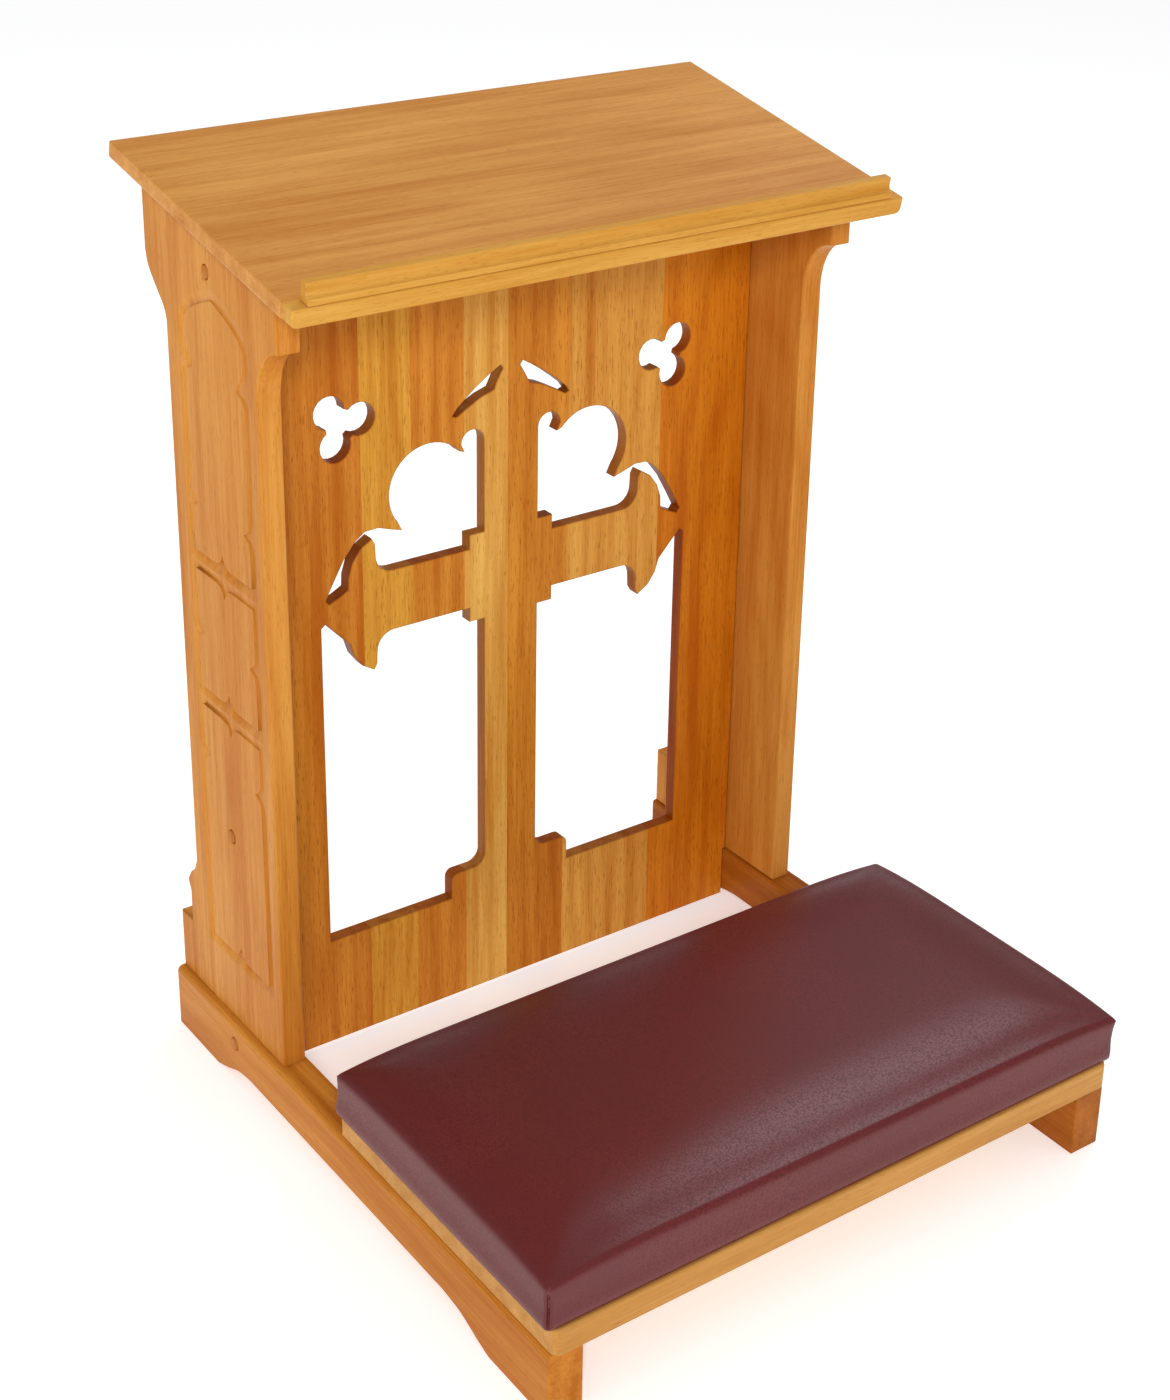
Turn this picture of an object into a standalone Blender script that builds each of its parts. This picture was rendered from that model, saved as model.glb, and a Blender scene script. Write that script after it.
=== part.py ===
"""A prie-dieu: two shaped side panels and a pierced panel carry a sloping desk, and two base rails carry a padded kneeler."""

import math

import bmesh
import bpy
from mathutils import Matrix, Vector

MM = 0.001

# Driving dimensions, in millimetres. +X is the user's right, +Y the back, +Z up, and the floor is z = 0.
OVERALL_DEPTH = 631.0
SIDE_SPACING = 560.0  # over the outer faces of the two side panels
SIDE_THICKNESS = 21.0
RAIL_HEIGHT = 61.0
RAIL_THICKNESS = 31.0
RAIL_PROUD = 7.0  # a rail stands this far out past its side panel
RAIL_LENGTH = 600.0
ARCH_HEIGHT = 17.5  # under a rail, between its two feet
FRET_THICKNESS = 14.0
DESK_TOP_FRONT = 762.7
DESK_LENGTH = 304.2  # up the slope
DESK_WIDTH = 584.6
DESK_THICKNESS = 16.0
DESK_SLOPE = math.radians(11.74)
BOARD_WIDTH = 570.0
BOARD_DEPTH = 307.0
BOARD_THICKNESS = 24.0
PAD_WIDTH = 584.0
PAD_DEPTH = 309.0
PAD_TOP = 140.0
GAP = 0.3  # between pieces that touch

# Places that follow from them.
FRONT = -OVERALL_DEPTH / 2
SIDE_OUT = SIDE_SPACING / 2
SIDE_IN = SIDE_OUT - SIDE_THICKNESS
RAIL_OUT = SIDE_OUT + RAIL_PROUD
RAIL_IN = RAIL_OUT - RAIL_THICKNESS
RAIL_FRONT = FRONT + 4.5
RAIL_BACK = RAIL_FRONT + RAIL_LENGTH
RAIL_MIDDLE = (RAIL_OUT + RAIL_IN) / 2
SIDE_BOTTOM = RAIL_HEIGHT + GAP
SIDE_FRONT = 98.5
SIDE_BACK = 251.0
FRET_HALF = SIDE_IN - GAP
FRET_FOOT_HALF = RAIL_IN - GAP  # it narrows to pass between the rails
FRET_FRONT = 171.0
FRET_MIDDLE = FRET_FRONT + FRET_THICKNESS / 2
FRET_BOTTOM = 10.0
BOARD_BOTTOM = RAIL_HEIGHT + GAP
BOARD_TOP = BOARD_BOTTOM + BOARD_THICKNESS
DESK_FRONT = OVERALL_DEPTH / 2 - DESK_LENGTH * math.cos(DESK_SLOPE) - DESK_THICKNESS * math.sin(DESK_SLOPE)
NOSING_DEPTH = 17.0
NOSING_HEIGHT = 15.5
LEDGE_LENGTH = 558.0
LEDGE_HEIGHT = 17.0
LEDGE_TOP_WIDTH = 8.0
LEDGE_FOOT_WIDTH = 13.0

# Colours, as linear red, green and blue.
HONEY = (0.56, 0.27, 0.075)
AMBER = (0.48, 0.19, 0.045)
PALE = (0.62, 0.34, 0.12)
PLYWOOD = (0.60, 0.45, 0.27)
FOAM = (0.80, 0.72, 0.45)
MAROON = (0.095, 0.022, 0.025)
STEEL = (0.55, 0.55, 0.56)


def clear_scene():
    for old in list(bpy.data.objects):
        bpy.data.objects.remove(old)


def material(name, colour, roughness, metallic=0.0):
    made = bpy.data.materials.new(name)
    made.use_nodes = True
    shader = made.node_tree.nodes["Principled BSDF"]
    shader.inputs["Base Color"].default_value = (*colour, 1.0)
    shader.inputs["Roughness"].default_value = roughness
    shader.inputs["Metallic"].default_value = metallic
    return made


def add_object(name, bm, look, smooth=False):
    """Makes the bmesh an object, scaling its millimetres to metres."""
    bmesh.ops.recalc_face_normals(bm, faces=bm.faces)
    bmesh.ops.scale(bm, vec=(MM, MM, MM), verts=bm.verts)
    mesh = bpy.data.meshes.new(name)
    bm.to_mesh(mesh)
    bm.free()
    if look is not None:
        mesh.materials.append(look)
    if smooth:
        mesh.shade_smooth()
        mesh.set_sharp_from_angle(angle=math.radians(40))
    obj = bpy.data.objects.new(name, mesh)
    bpy.context.scene.collection.objects.link(obj)
    return obj


def cut(obj, cutters):
    """Takes each cutter out of the object, and keeps the cutters out of the model."""
    for number, cutter in enumerate(cutters):
        cutter.hide_render = True
        cutter.display_type = "WIRE"
        boolean = obj.modifiers.new(f"cut_{number}", "BOOLEAN")
        boolean.operation = "DIFFERENCE"
        boolean.solver = "EXACT"
        boolean.object = cutter


def arc(centre, radius, start, end, steps):
    """Points round an arc, with its angles in degrees. A pair of radii makes it part of an ellipse."""
    across, up = radius if isinstance(radius, tuple) else (radius, radius)
    angles = [math.radians(start + (end - start) * i / steps) for i in range(steps + 1)]
    return [(centre[0] + across * math.cos(a), centre[1] + up * math.sin(a)) for a in angles]


def smooth_curve(points, steps):
    """Points along a Catmull-Rom curve through the given ones."""
    padded = [Vector(p) for p in (points[0], *points, points[-1])]
    curve = []
    for a, b, c, d in zip(padded, padded[1:], padded[2:], padded[3:]):
        for i in range(steps):
            t = i / steps
            curve.append(
                0.5 * (2 * b + (c - a) * t + (2 * a - 5 * b + 4 * c - d) * t**2 + (3 * b - a - 3 * c + d) * t**3)
            )
    return [tuple(p) for p in (*curve, padded[-1])]


def mirrored(points):
    return [(-a, b) for a, b in reversed(points)]


def plate(outline, axis, start, end):
    """A flat outline given thickness along X or Y. It returns the bmesh."""
    bm = bmesh.new()
    if axis == "X":
        corners = [bm.verts.new((start, a, b)) for a, b in outline]
        along = (end - start, 0, 0)
    else:
        corners = [bm.verts.new((a, start, b)) for a, b in outline]
        along = (0, end - start, 0)
    face = bm.faces.new(corners)
    grown = bmesh.ops.extrude_face_region(bm, geom=[face])["geom"]
    moved = [part for part in grown if isinstance(part, bmesh.types.BMVert)]
    bmesh.ops.translate(bm, vec=along, verts=moved)
    return bm


def box(low, high):
    bm = bmesh.new()
    bmesh.ops.create_cube(bm, size=1.0)
    size = [b - a for a, b in zip(low, high)]
    middle = [(a + b) / 2 for a, b in zip(low, high)]
    bmesh.ops.scale(bm, vec=size, verts=bm.verts)
    bmesh.ops.translate(bm, vec=middle, verts=bm.verts)
    return bm


def round_edges(bm, chosen, width, segments):
    edges = [edge for edge in bm.edges if chosen(*(vert.co for vert in edge.verts))]
    bmesh.ops.bevel(
        bm, geom=edges, offset=width, offset_type="OFFSET", segments=segments, profile=0.5,
        affect="EDGES", material=-1, clamp_overlap=True,
    )


def turned(profile, segments=12):
    """A solid turned round +Z from (radius, height) pairs that start and end on the axis."""
    bm = bmesh.new()
    points = [bm.verts.new((radius, 0, height)) for radius, height in profile]
    edges = [bm.edges.new(pair) for pair in zip(points, points[1:])]
    bmesh.ops.spin(
        bm, geom=points + edges, cent=(0, 0, 0), axis=(0, 0, 1), angle=math.tau, steps=segments, use_merge=True
    )
    bmesh.ops.remove_doubles(bm, verts=bm.verts, dist=1e-5)
    return bm


def laid(bm, start, direction):
    """Lays a turned solid so that its +Z runs from start along direction."""
    turn = Vector(direction).normalized().to_track_quat("Z", "Y").to_matrix().to_4x4()
    bmesh.ops.transform(bm, matrix=Matrix.Translation(start) @ turn, verts=bm.verts)
    return bm


# --- Side panels ---------------------------------------------------------------------------------


def underside_of_desk(y):
    """Height of the desk board's underside over a point y, less the gap to it."""
    rise = (y - DESK_FRONT) * math.tan(DESK_SLOPE)
    return DESK_TOP_FRONT + rise - (DESK_THICKNESS + GAP) / math.cos(DESK_SLOPE)


def side_outline():
    """The outline of a side panel in Y and Z, from the bottom of its front edge round past the top."""
    projection, cove_foot, cove_height = 65.0, 664.0, 48.0
    head_back, head_foot, neck = 284.0, 741.0, 689.0
    base_back, base_top = 287.5, 119.5
    cove = arc((projection, cove_foot), (SIDE_FRONT - projection, cove_height), 0, 90, 12)
    ogee = smooth_curve(
        [(head_back, head_foot), (279.5, 727.0), (266.0, 711.5), (254.5, 699.0), (SIDE_BACK, neck)], 3
    )
    cusp = smooth_curve([(SIDE_BACK, 190.0), (256.0, 178.5), (264.5, 170.5), (270.5, 160.5)], 3)
    return [
        (SIDE_FRONT, SIDE_BOTTOM),
        *cove,
        (projection, underside_of_desk(projection)),
        (head_back, underside_of_desk(head_back)),
        *ogee,
        *cusp,
        (266.0, 151.5),
        (266.0, base_top),
        (base_back, base_top),
        (base_back, SIDE_BOTTOM),
    ]


def side_panel(side, look, bores):
    """side is -1 for the left panel and 1 for the right."""
    name = "left_side_panel" if side < 0 else "right_side_panel"
    panel = add_object(name, plate(side_outline(), "X", side * SIDE_IN, side * SIDE_OUT), look)
    cut(panel, bores)
    return panel


# --- Base rails ----------------------------------------------------------------------------------


def rail_outline():
    """A rail in Y and Z: a foot at each end, and a long low arch between them."""
    rear_foot, rear_arch = 212.0, 150.0
    front_foot, front_arch = -231.0, -165.0
    rear = smooth_curve([(rear_arch, ARCH_HEIGHT), (172.0, 14.5), (194.0, 6.0), (rear_foot, 0.0)], 3)
    front = smooth_curve([(front_foot, 0.0), (-213.0, 6.0), (-190.0, 14.5), (front_arch, ARCH_HEIGHT)], 3)
    return [
        (RAIL_FRONT, RAIL_HEIGHT),
        (RAIL_FRONT, 0.0),
        *front,
        *rear,
        (RAIL_BACK, 0.0),
        (RAIL_BACK, RAIL_HEIGHT),
    ]


def base_rail(side, look, bores):
    name = "left_base_rail" if side < 0 else "right_base_rail"
    bm = plate(rail_outline(), "X", side * RAIL_IN, side * RAIL_OUT)
    for face, eased in ((RAIL_OUT, 5.0), (RAIL_IN, 2.5)):
        round_edges(
            bm,
            lambda a, b: min(a.z, b.z) > RAIL_HEIGHT - 1 and max(abs(side * p.x - face) for p in (a, b)) < 1,
            eased,
            3,
        )
    rail = add_object(name, bm, look)
    cut(rail, bores)
    return rail


# --- Pierced panel -------------------------------------------------------------------------------

# The cross: a post and arms of one width, square blocks where they meet, and flared arm ends.
POST_HALF = 28.0
CROSS_HEIGHT = 432.5
BLOCK_HALF = (43.5, 41.5)
STILE = 191.0
SILL = 115.0
CUTTER_REACH = 5.0


def arm_end(up):
    """The flared end of the cross's right arm, from its inner side round its tip to the outer side.
    up is 1 for the half above the arm's middle, and -1 for the half below."""
    points = [
        *arc((120.5, POST_HALF + 16.5), 16.5, -90, 0, 7),
        (137.5, 56.0),
        (140.5, 61.5),
        (152.0, 54.5),
        (160.0, 43.5),
        (164.0, 31.0),
        (164.5, 20.0),
    ]
    return [(x, CROSS_HEIGHT + up * z) for x, z in points]


def upper_window():
    """The right-hand opening above the arm: a foiled head, and a slit that curls round the arm's end."""
    block_x, block_z = BLOCK_HALF
    return [
        (POST_HALF, CROSS_HEIGHT + block_z),
        (block_x, CROSS_HEIGHT + block_z),
        (block_x, CROSS_HEIGHT + POST_HALF),
        *arm_end(1),
        (172.0, 448.5),
        (183.0, 443.5),
        (186.0, 447.5),
        (179.0, 461.0),
        (168.0, 480.5),
        (157.0, 494.5),
        (147.0, 501.5),
        (134.0, 502.0),
        (121.0, 497.5),
        (110.5, 494.5),
        *arc((83.0, 527.5), 40.0, -37, 139, 26),
        (47.5, 552.0),
        *arc((39.5, 559.5), 11.5, 0, 180, 10),
    ]


def lower_window():
    """The right-hand opening below the arm, down to the sill and the moulded foot of the cross."""
    block_x, block_z = BLOCK_HALF
    foot_top, foot_side, foot_round, cove = 140.0, 64.0, 7.0, 12.0
    outline = [
        *arc((POST_HALF + cove, foot_top + cove), cove, 180, 270, 7),
        *arc((foot_side - foot_round, foot_top - foot_round), foot_round, 90, 0, 5),
        (foot_side, SILL),
        (STILE, SILL),
        (STILE, 423.0),
        (187.0, 426.0),
        *reversed(arm_end(-1)[:-1]),
        (block_x, CROSS_HEIGHT - POST_HALF),
        (block_x, CROSS_HEIGHT - block_z),
        (POST_HALF, CROSS_HEIGHT - block_z),
    ]
    return outline


def head_slit():
    """The right-hand leaf-shaped slit over the head of the cross."""
    return [
        (9.0, 620.5),
        (11.5, 624.0),
        (25.0, 616.0),
        (36.0, 608.5),
        (47.0, 600.0),
        (56.0, 592.5),
        (60.0, 587.0),
        (56.0, 585.5),
        (42.0, 593.5),
        (31.0, 599.0),
        (18.5, 603.0),
        (14.0, 612.0),
    ]


def trefoil():
    """Three lobes round a point, each an arc that stops just short of the next."""
    centre, reach, radius, half_turn = (167.0, 600.3), 17.6, 14.3, 128
    outline = []
    for lobe in (50, 170, 290):
        turn = math.radians(lobe)
        middle = (centre[0] + reach * math.cos(turn), centre[1] + reach * math.sin(turn))
        outline += arc(middle, radius, lobe - half_turn, lobe + half_turn, 14)
    return outline


def fret_panel(look, bores):
    top = underside_of_desk(FRET_FRONT)
    notch = SIDE_BOTTOM
    right = [(FRET_FOOT_HALF, FRET_BOTTOM), (FRET_FOOT_HALF, notch), (FRET_HALF, notch), (FRET_HALF, top)]
    outline = right + mirrored(right)
    panel = add_object("fret_panel", plate(outline, "Y", FRET_FRONT, FRET_FRONT + FRET_THICKNESS), look)
    cutters = []
    reach = (FRET_FRONT - CUTTER_REACH, FRET_FRONT + FRET_THICKNESS + CUTTER_REACH)
    for shape in (upper_window, lower_window, head_slit, trefoil):
        for side, points in (("right", shape()), ("left", mirrored(shape()))):
            cutters.append(add_object(f"cutter_{shape.__name__}_{side}", plate(points, "Y", *reach), None))
    cut(panel, cutters + bores)
    return panel


# --- Desk ----------------------------------------------------------------------------------------


def on_desk(obj):
    """Tilts an object made flat, with its front top edge on the X axis, into the desk's place."""
    obj.rotation_euler = (DESK_SLOPE, 0, 0)
    obj.location = (0, DESK_FRONT * MM, DESK_TOP_FRONT * MM)


def desk_point(along, up=0.0):
    """World Y and Z of a point that lies so far up the desk's slope, and so far out from its face."""
    y = DESK_FRONT + along * math.cos(DESK_SLOPE) - up * math.sin(DESK_SLOPE)
    z = DESK_TOP_FRONT + along * math.sin(DESK_SLOPE) + up * math.cos(DESK_SLOPE)
    return y, z


def desk_board(look, bores):
    half = DESK_WIDTH / 2
    front = NOSING_DEPTH + GAP
    bm = box((-half, front, -DESK_THICKNESS), (half, DESK_LENGTH, 0))
    eased = 4.0
    round_edges(
        bm,
        lambda a, b: max(a.z, b.z) < -1 and max(a.y, b.y) > front + 1,
        eased,
        3,
    )
    board = add_object("desk_board", bm, look)
    on_desk(board)
    cut(board, bores)


def desk_nosing(look):
    half = DESK_WIDTH / 2
    bm = box((-half, 0, -NOSING_HEIGHT), (half, NOSING_DEPTH, 0))
    eased = 5.0
    round_edges(bm, lambda a, b: max(a.z, b.z) < -1 and abs(a.x - b.x) < 1 and abs(a.y - b.y) > 1, eased, 3)
    on_desk(add_object("desk_nosing", bm, look))


def book_ledge(look):
    half = LEDGE_LENGTH / 2
    base = GAP
    top = base + LEDGE_HEIGHT
    foot = 5.5
    lip = LEDGE_FOOT_WIDTH - LEDGE_TOP_WIDTH
    front = 1.0
    cove = arc((front, foot + lip + base), lip, -90, 0, 4)
    profile = [
        (front, base),
        *cove,
        (front + lip, top),
        (front + LEDGE_FOOT_WIDTH, top),
        (front + LEDGE_FOOT_WIDTH, base),
    ]
    on_desk(add_object("book_ledge", plate(profile, "X", -half, half), look))


# --- Kneeler -------------------------------------------------------------------------------------


def kneeler_board(look, bores):
    half = BOARD_WIDTH / 2
    bm = box((-half, FRONT, BOARD_BOTTOM), (half, FRONT + BOARD_DEPTH, BOARD_TOP))
    corner = 7.0
    round_edges(bm, lambda a, b: abs(a.z - b.z) > 1 and a.y < FRONT + 1, corner, 3)
    board = add_object("kneeler_board", bm, look)
    cut(board, bores)


PAD_BOTTOM = BOARD_TOP + GAP
PAD_BACK = FRONT + PAD_DEPTH + 0.5
COVER_THICKNESS = 1.2


def rounded_pad(margin, bottom, top, rounding):
    """A block inside the pad's outline, drawn in by margin, with its upper edges and corners rounded."""
    half = PAD_WIDTH / 2 - margin
    bm = box((-half, FRONT + 0.5 + margin, bottom), (half, PAD_BACK - margin, top))
    round_edges(bm, lambda a, b: max(a.z, b.z) > top - 1, rounding, 3)
    return bm


def pad(cover_look, foam_look, base_look, bores):
    base_thickness = 9.0
    rounding = 14.0
    inside = COVER_THICKNESS + GAP
    base_top = PAD_BOTTOM + base_thickness
    cover = add_object("pad_cover", rounded_pad(0, PAD_BOTTOM, PAD_TOP, rounding), cover_look, smooth=True)
    hollow = rounded_pad(
        COVER_THICKNESS, PAD_BOTTOM - CUTTER_REACH, PAD_TOP - COVER_THICKNESS, rounding - COVER_THICKNESS
    )
    cut(cover, [add_object("cutter_pad_hollow", hollow, None)])
    foam = rounded_pad(inside, base_top + GAP, PAD_TOP - inside, rounding - inside)
    add_object("pad_foam", foam, foam_look, smooth=True)
    half = PAD_WIDTH / 2 - inside
    base = box((-half, FRONT + 0.5 + inside, PAD_BOTTOM), (half, PAD_BACK - inside, base_top))
    round_edges(base, lambda a, b: abs(a.z - b.z) > 1, rounding - inside, 3)
    cut(add_object("pad_plywood_base", base, base_look), bores)


# --- Fasteners -----------------------------------------------------------------------------------

SCREW_RADIUS = 2.1
HEAD_RADIUS = 4.2
HEAD_HEIGHT = 2.8
PLUG_RADIUS = 6.0
PLUG_DEPTH = 6.0
DOWEL_RADIUS = 4.0
DOWEL_LENGTH = 28.0


def screw_shape(length):
    """A countersunk wood screw, head first, with a plain core and a pointed tip."""
    tip = 5.0
    return [
        (0, 0),
        (HEAD_RADIUS, 0),
        (HEAD_RADIUS, 0.6),
        (SCREW_RADIUS, HEAD_HEIGHT),
        (SCREW_RADIUS, length - tip),
        (0, length),
    ]


def screw_bore(recess, length):
    """The hole a screw needs: a counterbore so deep, a seat for its head, and a hole for its core."""
    clear = GAP
    wide = PLUG_RADIUS + clear if recess > 0 else HEAD_RADIUS + clear
    seat = recess + GAP + HEAD_HEIGHT + clear
    return [
        (0, -CUTTER_REACH),
        (wide, -CUTTER_REACH),
        (wide, recess),
        (HEAD_RADIUS + clear, recess),
        (HEAD_RADIUS + clear, seat),
        (SCREW_RADIUS + clear, seat),
        (SCREW_RADIUS + clear, recess + length + 1),
        (0, recess + length + 1),
    ]


def stepped_bore(name, start, direction, recess, length):
    return add_object(name, laid(turned(screw_bore(recess, length)), start, direction), None)


def add_screw(name, start, direction, recess, length, look):
    """A screw whose head sits at the bottom of a recess below start."""
    way = Vector(direction).normalized()
    head = Vector(start) + way * (recess + GAP)
    add_object(name, laid(turned(screw_shape(length)), head, way), look, smooth=True)


def add_plug(name, start, direction, look):
    """A wooden plug that fills a counterbore, its face a little domed and proud of the surface."""
    proud, eased = 0.8, 1.6
    shape = [
        (0, -proud),
        (PLUG_RADIUS - eased, -proud),
        (PLUG_RADIUS, 0),
        (PLUG_RADIUS, PLUG_DEPTH - GAP),
        (0, PLUG_DEPTH - GAP),
    ]
    add_object(name, laid(turned(shape, 16), start, direction), look, smooth=True)


def side_word(side):
    return "left" if side < 0 else "right"


def panel_fixings():
    """Where the screws that hold the pierced panel enter: name, start, and the node they pass through."""
    for side in (-1, 1):
        word = side_word(side)
        for level, height in (("upper", 748.0), ("lower", 249.0)):
            yield f"{word}_{level}", (side * SIDE_OUT, FRET_MIDDLE, height), side, f"{word}_side"
        yield f"{word}_rail", (side * RAIL_OUT, FRET_MIDDLE, 41.0), side, f"{word}_rail"


def build_fixings(wood, steel):
    """Adds screws, plugs and dowels, and returns the bores that each wooden piece needs."""
    bores = {
        key: []
        for key in ("left_side", "right_side", "left_rail", "right_rail", "fret", "desk", "kneeler", "plywood")
    }
    for place, start, side, host in panel_fixings():
        inward, length = (-side, 0, 0), 45.0
        bore = stepped_bore(f"bore_panel_{place}", start, inward, PLUG_DEPTH, length)
        bores[host].append(bore)
        bores["fret"].append(bore)
        add_screw(f"panel_screw_{place}", start, inward, PLUG_DEPTH, length, steel)
        add_plug(f"screw_plug_{place}", start, inward, wood)
    for side in (-1, 1):
        word = side_word(side)
        middle = side * (SIDE_OUT + SIDE_IN) / 2
        for place, y, floor in (("front", 125.0, ARCH_HEIGHT), ("rear", 262.0, 0.0)):
            start, recess, length = (middle, y, floor), 12.0, 65.0 - floor
            bore = stepped_bore(f"bore_side_{word}_{place}", start, (0, 0, 1), recess, length)
            bores[f"{word}_rail"].append(bore)
            bores[f"{word}_side"].append(bore)
            add_screw(f"side_screw_{word}_{place}", start, (0, 0, 1), recess, length, steel)
        for place, y in (("front", -282.0), ("rear", -45.0)):
            start, length = (side * RAIL_MIDDLE, y, BOARD_TOP), 45.0
            bore = stepped_bore(f"bore_kneeler_{word}_{place}", start, (0, 0, -1), 0.0, length)
            bores[f"{word}_rail"].append(bore)
            bores["kneeler"].append(bore)
            add_screw(f"kneeler_screw_{word}_{place}", start, (0, 0, -1), 0.0, length, steel)
        for place, y in (("front", -255.0), ("rear", -75.0)):
            start, length = (side * 215.0, y, BOARD_BOTTOM), 30.0
            bore = stepped_bore(f"bore_pad_{word}_{place}", start, (0, 0, 1), 0.0, length)
            bores["kneeler"].append(bore)
            bores["plywood"].append(bore)
            add_screw(f"pad_screw_{word}_{place}", start, (0, 0, 1), 0.0, length, steel)
        for place, along in (("front", 85.0), ("middle", 165.0), ("rear", 245.0)):
            y, z = desk_point(along, 8.5 - DESK_THICKNESS)
            start = (middle, y, z)
            down = (0, math.sin(DESK_SLOPE), -math.cos(DESK_SLOPE))
            name = f"desk_dowel_{word}_{place}"
            shape = [(0, 0), (DOWEL_RADIUS, 0), (DOWEL_RADIUS, DOWEL_LENGTH), (0, DOWEL_LENGTH)]
            wide = DOWEL_RADIUS + GAP
            hole = [(0, -1), (wide, -1), (wide, DOWEL_LENGTH + 1), (0, DOWEL_LENGTH + 1)]
            add_object(name, laid(turned(shape), start, down), wood, smooth=True)
            bore = add_object(f"bore_{name}", laid(turned(hole), start, down), None)
            bores["desk"].append(bore)
            bores[f"{word}_side"].append(bore)
    return bores


def build():
    clear_scene()
    honey = material("honey_wood", HONEY, 0.35)
    amber = material("amber_wood", AMBER, 0.35)
    pale = material("pale_wood", PALE, 0.38)
    steel = material("zinc_plated_steel", STEEL, 0.35, 1.0)
    bores = build_fixings(amber, steel)
    for side in (-1, 1):
        side_panel(side, honey, bores[f"{side_word(side)}_side"])
        base_rail(side, honey, bores[f"{side_word(side)}_rail"])
    fret_panel(amber, bores["fret"])
    desk_board(honey, bores["desk"])
    desk_nosing(honey)
    book_ledge(honey)
    kneeler_board(pale, bores["kneeler"])
    pad(
        material("maroon_vinyl", MAROON, 0.45),
        material("cream_foam", FOAM, 0.95),
        material("birch_plywood", PLYWOOD, 0.6),
        bores["plywood"],
    )


build()
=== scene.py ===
"""A prie-dieu in honey-stained wood with a padded vinyl kneeler, dressed for a studio picture."""

import math

import bmesh
import bpy
from mathutils import Matrix, Vector


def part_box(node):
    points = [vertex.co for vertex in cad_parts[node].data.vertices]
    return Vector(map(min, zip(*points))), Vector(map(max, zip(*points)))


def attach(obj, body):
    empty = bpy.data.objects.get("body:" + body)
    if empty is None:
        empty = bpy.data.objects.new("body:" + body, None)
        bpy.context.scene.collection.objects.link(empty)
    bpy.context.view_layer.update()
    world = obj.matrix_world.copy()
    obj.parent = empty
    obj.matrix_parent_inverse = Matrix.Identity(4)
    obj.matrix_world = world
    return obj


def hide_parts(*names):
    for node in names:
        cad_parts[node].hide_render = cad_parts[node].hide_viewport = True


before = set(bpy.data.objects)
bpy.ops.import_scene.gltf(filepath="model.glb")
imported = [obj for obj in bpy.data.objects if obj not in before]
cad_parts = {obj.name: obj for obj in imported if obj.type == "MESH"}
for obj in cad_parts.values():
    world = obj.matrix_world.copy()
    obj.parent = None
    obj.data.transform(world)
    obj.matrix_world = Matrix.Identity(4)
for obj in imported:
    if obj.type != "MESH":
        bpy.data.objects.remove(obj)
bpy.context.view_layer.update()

# --- Base rails ----------------------------------------------------------------------------------
# Two long rails of solid wood stand on the floor and carry everything else. Each is sawn from one
# board, arched underneath so that it rests on a foot at either end, and its upper edges are rounded.

RAIL_EASE = 0.0012
RAIL_LIGHT = (0.64, 0.255, 0.036, 1)  # the right rail's colours below are darker, painted shade for the shadow it stands in under the pad
RAIL_DARK = (0.42, 0.120, 0.008, 1)
SHADED_RIGHT_RAIL_LIGHT = (0.46, 0.145, 0.014, 1)
SHADED_RIGHT_RAIL_DARK = (0.26, 0.062, 0.004, 1)
EASE_STEPS = 3
SHARP_CORNER = math.radians(40)
FLAT_FACE = 0.0006  # a face over this many square metres is a plane, and shades as one
MERGE_WITHIN = 1e-6
SAME_PLANE = math.radians(0.4)
# The layers of the grain: how far each is drawn out, then its scale, detail and roughness.
FIBRES = (0.035, 420.0, 3.0, 0.60)
STREAKS = (0.05, 62.0, 3.0, 0.55)
CLOUDS = (0.35, 8.0, 2.0, 0.50)
PORES = (0.09, 1100.0, 1.0, 0.50)
WANDER = (0.4, 7.0, 2.0, 0.50)
WANDER_REACH = 0.045
RINGS_DRAWN_OUT = 0.16
RING_SCALE = 17.0
RING_SHARPNESS = 2.2
STREAK_SHARE = 0.62
FIBRE_SHARE = 0.38
PORE_TINT = (0.62, 0.50, 0.42, 1)
LACQUER_GLOSS = 0.06


def merged_copy(node):
    """The shape of a node as one closed mesh, with its loose triangles joined into whole flat faces."""
    shape = bmesh.new()
    shape.from_mesh(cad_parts[node].data)
    bmesh.ops.remove_doubles(shape, verts=shape.verts, dist=MERGE_WITHIN)
    bmesh.ops.dissolve_limit(shape, angle_limit=SAME_PLANE, verts=shape.verts, edges=shape.edges)
    return shape


def eased(shape, width, least_angle=55):
    """Rounds every sharp edge by this much, as sandpaper does."""
    sharp = [
        edge for edge in shape.edges
        if len(edge.link_faces) == 2 and edge.calc_face_angle(0) > math.radians(least_angle)
    ]
    bmesh.ops.bevel(
        shape, geom=sharp, offset=width, offset_type="OFFSET", segments=EASE_STEPS, profile=0.5,
        affect="EDGES", material=-1, clamp_overlap=False, loop_slide=False,
    )
    bmesh.ops.remove_doubles(shape, verts=shape.verts, dist=MERGE_WITHIN)
    return shape


def add_piece(shape, name, look, slot, *nodes, smooth=True):
    """Makes the shape a piece that stands for these nodes. Its rounded edges shade smoothly."""
    bmesh.ops.remove_doubles(shape, verts=shape.verts, dist=2 * MERGE_WITHIN)
    mesh = bpy.data.meshes.new(name)
    shape.to_mesh(mesh)
    shape.free()
    mesh.materials.append(look)
    piece = bpy.data.objects.new(name, mesh)
    bpy.context.scene.collection.objects.link(piece)
    if smooth:
        mesh.shade_smooth()
        mesh.set_sharp_from_angle(angle=SHARP_CORNER)
        curved = [face.area <= FLAT_FACE for face in mesh.polygons]
        mesh.polygons.foreach_set("use_smooth", curved)
        even = piece.modifiers.new("even_shading", "WEIGHTED_NORMAL")
        even.keep_sharp = True
        even.weight = 100
    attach(piece, "root")
    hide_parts(*nodes)
    return piece


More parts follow.
